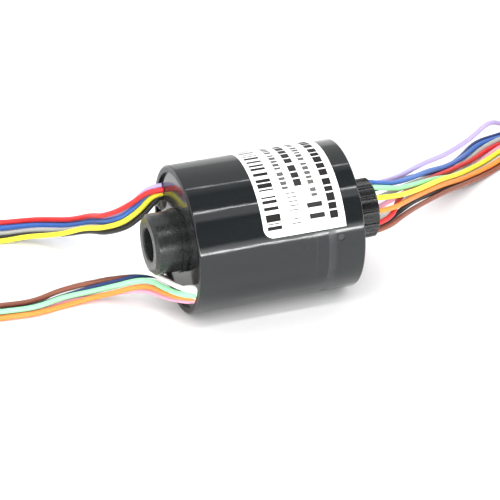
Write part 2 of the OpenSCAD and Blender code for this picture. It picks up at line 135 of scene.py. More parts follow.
# ---------------------------------------------------------------- finishes
class Tree:
    """A material's node tree, with short calls for the nodes that are used often."""

    def __init__(self, name: str) -> None:
        """Makes an empty material.

        Args:
            name: The material's name.
        """
        self.material = bpy.data.materials.new(name)
        self.material.use_nodes = True
        self.nodes = self.material.node_tree.nodes
        self.links = self.material.node_tree.links
        self.shader = self.nodes["Principled BSDF"]
        self.place = self.nodes.new("ShaderNodeTexCoord").outputs["Object"]

    def set(self, **values: float) -> None:
        """Sets uniform numbers on the shader, with underscores for the spaces in their names."""
        for key, value in values.items():
            self.shader.inputs[key.replace("_", " ")].default_value = value

    def feed(self, name: str, value: Socket) -> None:
        """Links a value to one of the shader's inputs."""
        self.links.new(value, self.shader.inputs[name])

    def noise(self, scale: float, detail: float = 2.0, stretch: Point = (1.0, 1.0, 1.0)) -> Socket:
        """Makes a noise in object space.

        Args:
            scale: Cycles per metre.
            detail: Octaves of finer noise.
            stretch: The scale's factor along each axis.

        Returns:
            The noise, 0 to 1.
        """
        mapping = self.nodes.new("ShaderNodeMapping")
        mapping.inputs["Scale"].default_value = stretch
        self.links.new(self.place, mapping.inputs["Vector"])
        node = self.nodes.new("ShaderNodeTexNoise")
        node.inputs["Scale"].default_value = scale
        node.inputs["Detail"].default_value = detail
        self.links.new(mapping.outputs["Vector"], node.inputs["Vector"])
        return node.outputs["Fac"]

    def ramp(self, value: Socket, stops: Sequence[tuple[float, Rgba]]) -> Socket:
        """Maps a value to a colour.

        Args:
            value: The value, 0 to 1.
            stops: Positions in rising order, each with its colour.

        Returns:
            The colour.
        """
        node = self.nodes.new("ShaderNodeValToRGB")
        elements = node.color_ramp.elements
        elements[0].position, elements[0].color = stops[0]
        elements[1].position, elements[1].color = stops[-1]
        for position, colour in stops[1:-1]:
            elements.new(position).color = colour
        self.links.new(value, node.inputs["Fac"])
        return node.outputs["Color"]

    def tones(self, value: Socket, rgb: Rgb, depth: float) -> Socket:
        """Varies a display colour by a share of depth to the dark and the light side."""
        return self.ramp(value, [(DARK_AT, to_linear(rgb, 1 - depth)), (LIGHT_AT, to_linear(rgb, 1 + depth))])

    def spread(self, value: Socket, low: float, high: float) -> Socket:
        """Maps 0 to 1 onto another span.

        Args:
            value: The value, 0 to 1.
            low: The result at 0.
            high: The result at 1.

        Returns:
            The mapped value.
        """
        node = self.nodes.new("ShaderNodeMapRange")
        node.inputs["To Min"].default_value = low
        node.inputs["To Max"].default_value = high
        self.links.new(value, node.inputs["Value"])
        return node.outputs["Result"]

    def swing(self, value: Socket, middle: float, share: float) -> Socket:
        """Maps 0 to 1 onto a number that swings by a share of itself to each side, up to 1."""
        return self.spread(value, middle * (1 - share), min(1.0, middle * (1 + share)))

    def along(self, low: float, high: float) -> Socket:
        """Measures the place along the X axis.

        Args:
            low: Where the result is 0.
            high: Where the result is 1.

        Returns:
            The place, 0 to 1.
        """
        parts = self.nodes.new("ShaderNodeSeparateXYZ")
        self.links.new(self.place, parts.inputs["Vector"])
        node = self.nodes.new("ShaderNodeMapRange")
        node.inputs["From Min"].default_value = low * MM
        node.inputs["From Max"].default_value = high * MM
        self.links.new(parts.outputs["X"], node.inputs["Value"])
        return node.outputs["Result"]

    def mix(self, share: Socket, first: Socket, second: Rgba) -> Socket:
        """Mixes a colour with a fixed second colour.

        Args:
            share: The second colour's share, 0 to 1.
            first: The first colour.
            second: The second colour.

        Returns:
            The mixed colour.
        """
        node = self.nodes.new("ShaderNodeMix")
        node.data_type = "RGBA"
        self.links.new(share, node.inputs["Factor"])
        self.links.new(first, node.inputs["A"])
        node.inputs["B"].default_value = second
        return node.outputs["Result"]

    def add(self, first: Socket, second: Socket) -> Socket:
        """Adds two values.

        Args:
            first: The first value.
            second: The second value.

        Returns:
            The sum.
        """
        node = self.nodes.new("ShaderNodeMath")
        self.links.new(first, node.inputs[0])
        self.links.new(second, node.inputs[1])
        return node.outputs["Value"]

    def bump(self, value: Socket, strength: float, depth: float) -> None:
        """Gives the shader a relief.

        Args:
            value: The height, 0 to 1.
            strength: How much of the relief shows, 0 to 1.
            depth: The relief's depth.
        """
        node = self.nodes.new("ShaderNodeBump")
        node.inputs["Strength"].default_value = strength
        node.inputs["Distance"].default_value = depth * MM
        self.links.new(value, node.inputs["Height"])
        self.links.new(node.outputs["Normal"], self.shader.inputs["Normal"])


class Finish:
    """A finish that makes its material once and gives the same one out again."""

    made: ClassVar[dict[str, bpy.types.Material]] = {}
    name: str

    def material(self) -> bpy.types.Material:
        """Makes the material at the first call.

        Returns:
            The finish's material.
        """
        if self.name not in Finish.made:
            tree = Tree(self.name)
            self.dress(tree)
            Finish.made[self.name] = tree.material
        return Finish.made[self.name]

    def dress(self, tree: Tree) -> None:
        """Puts the finish's nodes in an empty tree; each finish has its own."""
        raise NotImplementedError


@dataclass(frozen=True)
class TableTop(Finish):
    """The pale, even table."""

    name: str = "table"
    dark: Rgba = (0.93, 0.93, 0.93, 1.0)
    light: Rgba = (0.95, 0.95, 0.95, 1.0)
    grain: float = 8.0
    roughness: float = 0.6
    specular: float = 0.2

    def dress(self, tree: Tree) -> None:
        """Puts the finish's nodes in place.

        Args:
            tree: The material's empty tree.
        """
        tree.feed("Base Color", tree.ramp(tree.noise(self.grain), [
            (DARK_AT, self.dark), (LIGHT_AT, self.light)]))
        tree.set(Roughness=self.roughness, Specular_IOR_Level=self.specular)


@dataclass(frozen=True)
class Grained(Finish):
    """A finish with slight variation of colour, gloss and relief, from one noise in cycles per metre."""

    name: str
    rgb: Rgb
    roughness: float
    metallic: float = 0.0
    grain: float = 1500.0
    stretch: Point = (1.0, 1.0, 1.0)
    depth: float = 0.06
    relief: float = 0.05
    detail: float = 3.0
    swing: float = 0.15
    height: float = 0.05

    def dress(self, tree: Tree) -> None:
        """Puts the finish's nodes in place.

        Args:
            tree: The material's empty tree.
        """
        value = tree.noise(self.grain, self.detail, self.stretch)
        tree.feed("Base Color", tree.tones(value, self.rgb, self.depth))
        tree.feed("Roughness", tree.swing(value, self.roughness, self.swing))
        tree.set(Metallic=self.metallic)
        tree.bump(value, self.relief, self.height)


@dataclass(frozen=True)
class Moulded(Finish):
    """A dark moulded plastic, whose slightly uneven surface makes mirrored lines waver."""

    name: str
    rgb: Rgb
    roughness: float
    grain: float
    wave: float
    specular: float = 0.5
    detail: float = 3.0
    broad: float = 0.25
    depth: float = 0.1
    swing: float = 0.7
    height: float = 0.1

    def dress(self, tree: Tree) -> None:
        """Puts the finish's nodes in place.

        Args:
            tree: The material's empty tree.
        """
        fine = tree.noise(self.grain, self.detail)
        broad = tree.noise(self.grain * self.broad, 1.0)
        tree.feed("Base Color", tree.tones(broad, self.rgb, self.depth))
        tree.feed("Roughness", tree.swing(fine, self.roughness, self.swing))
        tree.set(Specular_IOR_Level=self.specular)
        tree.bump(fine, self.wave, self.height)


@dataclass(frozen=True)
class TubePlastic(Finish):
    """The tube's mirroring plastic, drawn lengthwise, with two faint seams of film round it."""

    name: str = "tube_plastic"
    rgb: Rgb = (25, 28, 29)
    seam_rgb: Rgb = (44, 47, 49)
    roughness: float = 0.08
    seam_roughness: float = 0.16
    grain: float = 700.0
    stretch: Point = (0.25, 2.0, 2.0)
    wave: float = 0.08
    specular: float = 0.42
    detail: float = 3.0
    broad: float = 0.25
    depth: float = 0.1
    swing: float = 0.7
    height: float = 0.1
    seam_span: float = 10.0
    seams: tuple[tuple[float, Rgba], ...] = (
        (0.50, NONE), (0.51, HALF), (0.52, NONE), (0.69, NONE), (0.70, FULL), (0.80, HALF), (0.82, NONE))

    def dress(self, tree: Tree) -> None:
        """Puts the finish's nodes in place.

        Args:
            tree: The material's empty tree.
        """
        fine = tree.noise(self.grain, self.detail, self.stretch)
        broad = tree.noise(self.grain * self.broad, 1.0, self.stretch)
        seam = tree.ramp(tree.along(0.0, self.seam_span), self.seams)
        plain = tree.tones(broad, self.rgb, self.depth)
        gloss = tree.swing(fine, self.roughness, self.swing)
        tree.feed("Base Color", tree.mix(seam, plain, to_linear(self.seam_rgb)))
        tree.feed("Roughness", tree.add(gloss, tree.spread(seam, 0.0, self.seam_roughness)))
        tree.set(Specular_IOR_Level=self.specular)
        tree.bump(fine, self.wave, self.height)


@dataclass(frozen=True)
class Ink(Finish):
    """Printing ink, as dark as each mark's own tone."""

    name: str = "ink"
    attribute: str = "tone"
    light: Rgb = (236, 236, 236)
    middle: Rgb = (96, 94, 92)
    dark: Rgb = (14, 13, 12)
    specular: float = 0.12
    grain: float = 2500.0
    roughness: tuple[float, float] = (0.35, 0.55)

    def dress(self, tree: Tree) -> None:
        """Puts the finish's nodes in place.

        Args:
            tree: The material's empty tree.
        """
        tone = tree.nodes.new("ShaderNodeAttribute")
        tone.attribute_name = self.attribute
        tree.feed("Base Color", tree.ramp(tone.outputs["Fac"], [
            (0.0, to_linear(self.light)), (0.5, to_linear(self.middle)), (1.0, to_linear(self.dark))]))
        tree.set(Specular_IOR_Level=self.specular)
        tree.feed("Roughness", tree.spread(tree.noise(self.grain), *self.roughness))


@dataclass(frozen=True)
class ClearGlue(Finish):
    """Clear glue with a wet shine."""

    name: str = "clear_glue"
    dark: Rgb = (120, 118, 112)
    light: Rgb = (170, 168, 160)
    roughness: float = 0.06
    bending: float = 1.46
    clearness: float = 0.9
    cloud: float = 900.0
    ripple: float = 1400.0
    relief: float = 0.35
    height: float = 0.2

    def dress(self, tree: Tree) -> None:
        """Puts the finish's nodes in place.

        Args:
            tree: The material's empty tree.
        """
        tree.feed("Base Color", tree.ramp(tree.noise(self.cloud), [
            (DARK_AT, to_linear(self.dark)), (LIGHT_AT, to_linear(self.light))]))
        tree.set(Roughness=self.roughness, IOR=self.bending, Transmission_Weight=self.clearness)
        tree.bump(tree.noise(self.ripple), self.relief, self.height)


TUBE = TubePlastic()
RIM = Moulded("tube_rim_plastic", (25, 28, 29), 0.20, 700.0, 0.08, 0.08)
PLATE = Moulded("cover_plate", (38, 39, 39), 0.12, 500.0, 0.06, 0.4)
SHAFT = Moulded("rotor_plastic", (30, 32, 32), 0.30, 1500.0, 0.05)
BLACK_PLASTIC = Moulded("black_plastic", (20, 21, 22), 0.26, 2000.0, 0.05)
STEEL = Grained("turned_steel", (165, 165, 160), 0.3, 1.0, 3000.0, (6.0, 1.0, 1.0))
TINNED = Grained("tinned_copper", (196, 192, 184), 0.35, 1.0, 4000.0)
GOLD = Grained("gold_contact", (214, 170, 72), 0.28, 1.0, 3000.0)
BOARD = Grained("circuit_board", (26, 90, 52), 0.5, grain=2000.0)
BARREL = Grained("barrel_plastic", (32, 54, 86), 0.4, grain=2000.0)
SILICONE = Grained("silicone", (244, 244, 240), 0.35, grain=1200.0, depth=0.03, relief=0.3)
SEALANT = Grained("white_sealant", (246, 246, 242), 0.3, grain=900.0, depth=0.03, relief=0.25)
PAPER = Grained("label_film", (252, 252, 252), 0.32, grain=1500.0, depth=0.008, relief=0.02)


# ---------------------------------------------------------------- camera and light
@dataclass(frozen=True)
class SoftLight:
    """A rectangular light aimed at the origin, which no surface mirrors. Place and size are in metres."""

    name: str
    at: Point
    size: tuple[float, float]
    power: float

    def build(self) -> None:
        """Makes the light."""
        data = bpy.data.lights.new(self.name, "AREA")
        data.shape = "RECTANGLE"
        data.size, data.size_y = self.size
        data.energy = self.power
        light = add_object(self.name, data)
        light.location = self.at
        light.rotation_euler = (-Vector(self.at)).to_track_quat("-Z", "Y").to_euler()
        light.visible_glossy = False


@dataclass(frozen=True)
class Sky:
    """A sky in bands along the X axis, which the tube mirrors as fine lines.

    Each band is an angle round the axis, from the back horizon over the top to the front one, and the
    brightness there. The three narrow peaks are the edges of soft boxes.
    """

    peak: float = 40.0
    bands: tuple[tuple[float, float], ...] = (
        (0.0, 1.6), (19.0, 1.6), (22.0, 0.95), (68.0, 1.0), (71.0, 1.0), (72.0, 16.0), (73.0, 0.9),
        (82.0, 0.5), (86.0, 0.12), (113.0, 0.12), (114.3, 30.0), (115.6, 1.4), (126.0, 1.6), (130.0, 0.0),
        (166.0, 0.05), (171.0, 2.6), (176.0, 4.0), (177.3, 40.0), (178.6, 8.0), (180.0, 2.0),
    )

    def build(self) -> None:
        """Makes the world and its nodes."""
        world = bpy.data.worlds.new("studio")
        world.use_nodes = True
        nodes, links = world.node_tree.nodes, world.node_tree.links
        place = nodes.new("ShaderNodeTexCoord")
        parts = nodes.new("ShaderNodeSeparateXYZ")
        links.new(place.outputs["Generated"], parts.inputs["Vector"])
        angle = nodes.new("ShaderNodeMath")
        angle.operation = "ARCTAN2"
        links.new(parts.outputs["Z"], angle.inputs[0])
        links.new(parts.outputs["Y"], angle.inputs[1])
        share = nodes.new("ShaderNodeMath")
        share.operation = "DIVIDE"
        share.inputs[1].default_value = math.pi
        links.new(angle.outputs["Value"], share.inputs[0])
        ramp = nodes.new("ShaderNodeValToRGB")
        self._fill(ramp.color_ramp.elements)
        links.new(share.outputs["Value"], ramp.inputs["Fac"])
        background = nodes["Background"]
        links.new(ramp.outputs["Color"], background.inputs["Color"])
        background.inputs["Strength"].default_value = self.peak
        bpy.context.scene.world = world

    def _fill(self, elements: bpy.types.ColorRampElements) -> None:
        """Gives the ramp one element for each band.

        Args:
            elements: The ramp's elements, of which a new ramp has two.
        """
        for i, (degrees, level) in enumerate(self.bands):
            element = elements[i] if i < 2 else elements.new(degrees / 180.0)
            element.position = degrees / 180.0
            element.color = (level / self.peak, level / self.peak, level / self.peak, 1.0)


@dataclass(frozen=True)
class Studio:
    """The camera, the light and the pale table."""

    azimuth: float = -19.30
    elevation: float = 29.52
    distance: float = 450.0
    sensor: float = 36.0
    lens: float = 221.436
    shift: tuple[float, float] = (-0.0176, -0.048)
    table_z: float = -11.02
    table_half: float = 1200.0
    sky: Sky = Sky()
    lights: tuple[SoftLight, ...] = (
        SoftLight("key", (-0.16, 0.10, 0.46), (0.34, 0.34), 1.1),
        SoftLight("front_fill", (-0.10, -0.42, 0.26), (0.50, 0.40), 2.5),
    )

    def build(self) -> None:
        """Makes the camera, the lights, the sky and the table."""
        self._camera()
        for light in self.lights:
            light.build()
        self.sky.build()
        self._table()
        view = bpy.context.scene.view_settings
        view.view_transform = "Standard"
        view.look = "None"

    def _camera(self) -> None:
        """Aims the camera at the origin and makes it the scene's own."""
        a, e = math.radians(self.azimuth), math.radians(self.elevation)
        data = bpy.data.cameras.new("camera")
        data.sensor_fit = "HORIZONTAL"
        data.sensor_width = self.sensor
        data.lens = self.lens
        data.shift_x, data.shift_y = self.shift
        data.clip_start = 0.01
        data.clip_end = 10.0
        data.dof.use_dof = False
        camera = add_object("camera", data)
        away = Vector((math.sin(a) * math.cos(e), -math.cos(a) * math.cos(e), math.sin(e)))
        camera.location = away * self.distance * MM
        camera.rotation_euler = (-away).to_track_quat("-Z", "Y").to_euler()
        bpy.context.scene.camera = camera

    def _table(self) -> None:
        """Makes the table as one square, just under the lowest point of the tube."""
        half, z = self.table_half * MM, self.table_z * MM
        mesh = bpy.data.meshes.new("table")
        mesh.from_pydata([(-half, -half, z), (half, -half, z), (half, half, z), (-half, half, z)],
                         [], [(0, 1, 2, 3)])
        mesh.materials.append(TableTop().material())
        add_object("table", mesh)


# ---------------------------------------------------------------- leads
@dataclass(frozen=True)
class LeadSpec:
    """One lead: its colour name, its display colour and its lane at each stop of its bundle."""

    name: str
    rgb: Rgb
    lanes: tuple[Lane, ...]

    def finish(self) -> Finish:
        """Returns the finish of the lead's insulation."""
        return Grained("insulation_" + self.name, self.rgb, roughness=0.42, grain=2500.0,
                       depth=0.05, relief=0.04)


@dataclass(frozen=True)
class Bundle:
    """A set of leads that run together along one line and end in one coil.

    Each stop is the index of a point of the line where the leads reach their next lane. The side sign and
    the turn say on which side of the line a lane's first offset lies, and which way the coil winds.
    """

    name: str
    line: tuple[Point, ...]
    stops: tuple[int, ...]
    first: Point
    last: Point
    side_sign: int
    turn: int
    coil_radius: float
    pitch: float
    root: float
    leads: tuple[LeadSpec, ...]


RED, BLUE, GREY = (206, 40, 42), (56, 102, 180), (166, 166, 160)
YELLOW, BLACK, VIOLET = (236, 228, 52), (32, 32, 30), (174, 160, 208)
WHITE, NAVY, BROWN = (240, 240, 236), (32, 50, 104), (126, 72, 54)
PINK, ORANGE, MINT = (222, 152, 174), (230, 132, 52), (146, 222, 166)

UPPER_WINDOW = 25.0
LOWER_WINDOW = 216.0
SLEEVE_RING = 3.75
LANE_GAP = 0.85


def in_upper(out: float, around: float) -> Lane:
    """A lane in the upper window, by its offsets away from the axis and round it."""
    return turn(out, around, UPPER_WINDOW)


def in_lower(out: float, around: float) -> Lane:
    """A lane in the lower window, by its offsets away from the axis and round it."""
    return turn(out, around, LOWER_WINDOW)


def in_sleeve(degrees: float) -> Lane:
    """A lane in the rear sleeve, where twelve leads pass in a ring."""
    return turn(SLEEVE_RING, 0.0, degrees)


def in_coil(index: int, up: float = 0.0) -> Lane:
    """A lane in a coil, where the leads lie side by side."""
    return ((index - 2.5) * LANE_GAP, up)


UPPER = Bundle(
    "upper",
    ((-12.5, 8.16, 3.8), (-13.8, 8.8, 3.1), (-15.7, 9.9, 0.9), (-17.7, 11.4, -1.2), (-19.4, 14.2, -3.2),
     (-20.6, 18.2, -5.2), (-23, 22.2, -7.6), (-27, 26.8, -9.5), (-31.5, 29, -10.4), (-36.5, 30.4, -10.4),
     (-41, 31.5, -10.3)),
    (0, 3, 8, 9, 10), (-1, 0, 0), (-0.97, 0.243, 0), 1, 1, 8.0, 0.85, 0.35,
    (
        LeadSpec("red", RED, (
            in_upper(-0.42, 0.86), (-0.1, 1), (1.45, 0.62), (1.3, 0.62), in_coil(4))),
        LeadSpec("violet", VIOLET, (
            in_upper(0.42, 0.86), (0.75, 0.6), (1.9, -0.1), (2.3, -0.1), in_coil(5))),
        LeadSpec("blue", BLUE, (
            in_upper(0.42, 0), (0.3, -0.15), (1, -0.1), (0.3, -0.1), in_coil(3))),
        LeadSpec("yellow", YELLOW, (
            in_upper(-0.42, 0), (-0.35, -0.8), (-3.1, -0.1), (-2.9, -0.1), in_coil(0))),
        LeadSpec("grey", GREY, (
            in_upper(0.42, -0.86), (0.5, -1.05), (-0.95, -0.1), (-0.9, -0.1), in_coil(2))),
        LeadSpec("black", BLACK, (
            in_upper(-0.42, -0.86), (0, -1.75), (-2.1, -0.1), (-1.9, -0.1), in_coil(1))),
    ),
)
LOWER = Bundle(
    "lower",
    ((-12.5, -7.28, -5.29), (-13.9, -6.2, -5.3), (-15.2, -2.9, -5.8), (-16.3, 0, -6.1), (-18, 2.2, -6.8),
     (-20.6, 3.8, -7.8), (-24, 6, -9.3), (-28.2, 6.8, -10.2), (-33, 6.9, -10.4), (-38, 7, -10.4),
     (-43, 7, -10.4), (-50.5, 7, -10.3)),
    (0, 3, 6, 7, 8, 9, 10, 11), (-1, 0, 0), (-1, 0, 0), 1, 1, 8.0, 0.85, 0.35,
    (
        LeadSpec("white", WHITE, (
            in_lower(-0.42, -0.86), (0.2, 1), (1.35, 1.15), (1.6, 0.3),
            (-0.2, -0.1), (0.1, -0.1), (1.75, -0.1), in_coil(5))),
        LeadSpec("navy", NAVY, (
            in_lower(-0.42, 0), (1, 0.3), (0.35, -0.1), (-0.1, -0.1),
            (-1.1, -0.1), (-0.9, -0.1), (-0.05, -0.1), in_coil(3))),
        LeadSpec("brown", BROWN, (
            in_lower(-0.42, 0.86), (1.8, -0.1), (1.15, 0.3), (0.25, 0.87),
            (-0.65, 0.62), (-0.4, 0.62), (0.85, 0.62), in_coil(4))),
        LeadSpec("pink", PINK, (
            in_lower(0.42, 0.86), (-0.4, -1.75), (-0.55, -1.15), (-1.1, -0.42),
            (-2, -0.1), (-1.8, -0.1), (-0.95, -0.1), in_coil(2))),
        LeadSpec("orange", ORANGE, (
            in_lower(0.42, 0), (-0.6, -0.85), (-1.35, -0.83), (-2.1, -0.4),
            (-3, -0.1), (-2.8, -0.1), (-2.85, -0.1), in_coil(0))),
        LeadSpec("green", MINT, (
            in_lower(0.42, -0.86), (-0.5, 0.1), (-0.5, -0.2), (-1.2, 0.45),
            (-2.45, 0.62), (-2.25, 0.62), (-1.9, 0.62), in_coil(1))),
    ),
)
REAR = Bundle(
    "rear",
    ((17.4, 0, 0), (19.2, 0.2, 0), (22.3, 1.9, -0.4), (27, 6.4, -2.2), (33.4, 13, -5.2),
     (39.8, 19.2, -8.3), (45.6, 23.8, -9.9), (50.5, 26.8, -10), (54, 28.8, -10.1), (58, 30.1, -10),
     (63, 30.4, -9.9)),
    (0, 3, 5, 7, 9, 10), (1, 0, 0), (1, 0, 0), -1, -1, 10.0, 1.76, 0.0,
    (
        LeadSpec("navy", NAVY, (
            in_sleeve(12), (3, 0.7), (2.9, -0.2), (5.2, -0.4), (3.6, -0.44), in_coil(5, -0.44))),
        LeadSpec("violet", VIOLET, (
            in_sleeve(42), (2.5, 1.7), (2.6, 2.6), (2.8, 4), (3, 0.6), in_coil(5, 0.44))),
        LeadSpec("blue", BLUE, (
            in_sleeve(72), (0.9, 1.6), (2.15, 0.75), (4.45, -0.4), (2.7, -0.44), in_coil(4, -0.44))),
        LeadSpec("green", MINT, (
            in_sleeve(102), (-0.25, 1), (0.6, -0.45), (0.15, -0.4), (-0.9, -0.44), in_coil(2, -0.44))),
        LeadSpec("yellow", YELLOW, (
            in_sleeve(132), (-1.1, 0.5), (-0.25, 0.1), (-0.28, 0.42), (-0.95, 0.44), in_coil(2, 0.44))),
        LeadSpec("orange", ORANGE, (
            in_sleeve(162), (-1.1, -0.45), (-1, -0.5), (-1.97, 0.42), (-3.2, 0.44), in_coil(0, 0.44))),
        LeadSpec("red", RED, (
            in_sleeve(192), (0.6, 0.1), (1.45, 0.25), (2.4, -0.4), (1, -0.44), in_coil(3, -0.44))),
        LeadSpec("brown", BROWN, (
            in_sleeve(222), (-1.5, -1.95), (-1.9, -1), (-2.4, -0.4), (-3.4, -0.44), in_coil(0, -0.44))),
        LeadSpec("black", BLACK, (
            in_sleeve(252), (-0.75, -1.35), (-1.05, -1.35), (-1.55, -0.4), (-2.55, -0.44),
            in_coil(1, -0.44))),
        LeadSpec("white", WHITE, (
            in_sleeve(282), (0.3, -1.2), (-0.1, -1.05), (-0.7, -0.4), (-1.95, 0.44), in_coil(1, 0.44))),
        LeadSpec("pink", PINK, (
            in_sleeve(312), (1.2, -0.65), (1.1, -1.35), (1.3, -0.4), (0, 0.44), in_coil(3, 0.44))),
        LeadSpec("grey", GREY, (
            in_sleeve(342), (1.55, 0.2), (2.1, -0.5), (3.3, -0.4), (1.9, 0.44), in_coil(4, 0.44))),
    ),
)


@dataclass(frozen=True)
class Route:
    """The line that one lead follows."""

    bundle: Bundle
    lead: LeadSpec
    steps: int = 6
    lead_in: float = 3.0
    points_per_turn: int = 30

    def points(self) -> list[Vector]:
        """Joins the lane, the coil and the root inside the window.

        Returns:
            The whole route, from the exit to the far end.
        """
        laid = self._spline(self._lane_points())
        heading = Vector(self.bundle.last).normalized()
        tangent = laid[-1] + heading * self.lead_in
        left = LEAD_LENGTH - sum((b - a).length for a, b in zip(laid, laid[1:])) - self.lead_in
        whole = laid + self._coil(tangent, heading, left)
        if self.bundle.root:
            whole.insert(0, whole[0] - (whole[1] - whole[0]).normalized() * self.bundle.root)
        return whole

    def _lane_points(self) -> list[Vector]:
        """Moves each point of the bundle's line over to the lead's own lane.

        Returns:
            The moved points.
        """
        b = self.bundle
        line = [Vector(p) for p in b.line]
        out = []
        for i, p in enumerate(line):
            if i == 0:
                ahead = Vector(b.first)
            elif i == len(line) - 1:
                ahead = Vector(b.last)
            else:
                ahead = line[i + 1] - line[i - 1]
            ahead = ahead.normalized()
            side = ahead.cross(Vector((0, 0, 1))).normalized() * b.side_sign
            up = side.cross(ahead) * b.side_sign
            sideways, upwards = self._offset(i)
            out.append(p + side * sideways + up * upwards)
        return out

    def _offset(self, i: int) -> Lane:
        """Eases the lead's offset from one stop's lane to the next one's.

        Args:
            i: The index of a point of the bundle's line.

        Returns:
            The offset there.
        """
        stops, lanes = self.bundle.stops, self.lead.lanes
        for k in range(len(stops) - 1):
            if i <= stops[k + 1]:
                s = (i - stops[k]) / (stops[k + 1] - stops[k])
                e = s * s * (3 - 2 * s)
                return (lanes[k][0] * (1 - e) + lanes[k + 1][0] * e,
                        lanes[k][1] * (1 - e) + lanes[k + 1][1] * e)
        return lanes[-1]

    def _spline(self, p: list[Vector]) -> list[Vector]:
        """Draws one smooth curve, which starts and ends in the bundle's directions.

        Args:
            p: The points that it goes through.

        Returns:
            The curve's points.
        """
        first, last = Vector(self.bundle.first).normalized(), Vector(self.bundle.last).normalized()
        q = [p[0] - first * (p[1] - p[0]).length] + p + [p[-1] + last * (p[-1] - p[-2]).length]
        out = []
        for i in range(1, len(p)):
            a, b, c, d = q[i - 1], q[i], q[i + 1], q[i + 2]
            for j in range(self.steps):
                t = j / self.steps
                out.append(0.5 * (2 * b + (c - a) * t + (2 * a - 5 * b + 4 * c - d) * t * t
                                  + (3 * b - a - 3 * c + d) * t * t * t))
        return out + [p[-1]]

    def _coil(self, tangent: Vector, heading: Vector, length: float) -> list[Vector]:
        """Winds the rest of the lead on its own radius, rising one pitch each turn.

        Args:
            tangent: The point where the coil begins.
            heading: The direction there.
            length: The length that is left.

        Returns:
            The coil's points.
        """
        b = self.bundle
        left = Vector((-heading.y, heading.x, 0.0))
        centre = tangent + left * b.side_sign * self.lead.lanes[-1][0] + left * b.turn * b.coil_radius
        start = tangent - centre
        radius = Vector((start.x, start.y, 0)).length
        turns = length / math.hypot(2 * math.pi * radius, b.pitch)
        count = max(12, int(turns * self.points_per_turn))
        out = []
        for i in range(count + 1):
            phase = b.turn * 2 * math.pi * turns * i / count
            x = start.x * math.cos(phase) - start.y * math.sin(phase)
            y = start.x * math.sin(phase) + start.y * math.cos(phase)
            out.append(Vector((centre.x + x, centre.y + y, tangent.z + b.pitch * turns * i / count)))
        return out


@dataclass(frozen=True)
class Leads:
    """The 24 leads, each a curve along its route with a stripped end."""

    bundles: tuple[Bundle, ...] = (UPPER, LOWER, REAR)
    core_radius: float = 0.25
    core_inside: float = 0.6
    roundness: ClassVar[int] = 3

    def build(self) -> None:
        """Lays every lead, and hides each bundle's plain coil solid."""
        for bundle in self.bundles:
            for lead in bundle.leads:
                self._lay(bundle, lead)
        for bundle in self.bundles:
            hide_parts(f"{bundle.name}_coil")

    def _lay(self, bundle: Bundle, lead: LeadSpec) -> None:
        """Args:
            bundle: The lead's bundle.
            lead: The lead.
        """
        points = Route(bundle, lead).points()
        name = f"{bundle.name}_{lead.name}"
        cover, core = self._split(points)
        tube = self._tube(name + "_insulation", cover, LEAD_DIAMETER / 2, lead.finish())
        end = self._tube(name + "_stripped_end", core, self.core_radius, TINNED)
        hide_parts(f"{name}_lead")
        for piece in (tube, end):
            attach(piece, Body.STATOR.value)

    def _split(self, points: list[Vector]) -> tuple[list[Vector], list[Vector]]:
        """Parts the route where the insulation ends.

        Args:
            points: The whole route.

        Returns:
            The insulation's points and the bare core's, which begin a little inside the insulation.
        """
        left = STRIPPED
        i = len(points) - 1
        while i > 0 and (points[i] - points[i - 1]).length < left:
            left -= (points[i] - points[i - 1]).length
            i -= 1
        back = (points[i - 1] - points[i]).normalized()
        cut = points[i] + back * left
        return points[:i] + [cut], [cut + back * self.core_inside, cut] + points[i:]

    @staticmethod
    def _tube(name: str, points: Sequence[Vector], radius: float, finish: Finish) -> bpy.types.Object:
        """Makes a round curve through the points.

        Args:
            name: The piece's name.
            points: Its centre line.
            radius: Its radius.
            finish: Its finish.

        Returns:
            The piece.
        """
        data = bpy.data.curves.new(name, "CURVE")
        data.dimensions = "3D"
        data.bevel_depth = radius * MM
        data.bevel_resolution = Leads.roundness
        data.use_fill_caps = True
        spline = data.splines.new("POLY")
        spline.points.add(len(points) - 1)
        for target, p in zip(spline.points, points):
            target.co = (*(p * MM), 1.0)
        data.materials.append(finish.material())
        spline.use_smooth = True
        return add_object(name, data)


# ---------------------------------------------------------------- label print
@dataclass(frozen=True)
class Mark:
    """One printed bar: its middle and size along the axis, and in degrees round the tube, and its tone."""

    x: float
    width: float
    angle: float
    sweep: float
    tone: float


@dataclass(frozen=True)
class Row:
    """A row of dashes round the tube, which stands for one printed line.

    The row runs from the start to the end, as angles above the front. It uses its sweeps in turn and
    leaves a wider gap after every fifth dash.
    """

    x: float
    width: float
    start: float
    end: float
    sweeps: tuple[float, ...]
    gap: float
    tone: float
    group: int = 5
    group_gap: float = 2.4

    def marks(self) -> list[Mark]:
        """Lays dashes until the row is full.

        Returns:
            The row's dashes.
        """
        row, at, k = [], self.start, 0
        while at - self.sweeps[k % len(self.sweeps)] >= self.end:
            sweep = self.sweeps[k % len(self.sweeps)]
            row.append(Mark(self.x, self.width, at - sweep / 2, sweep, self.tone))
            at -= sweep + self.gap * (self.group_gap if k % self.group == self.group - 1 else 1.0)
            k += 1
        return row


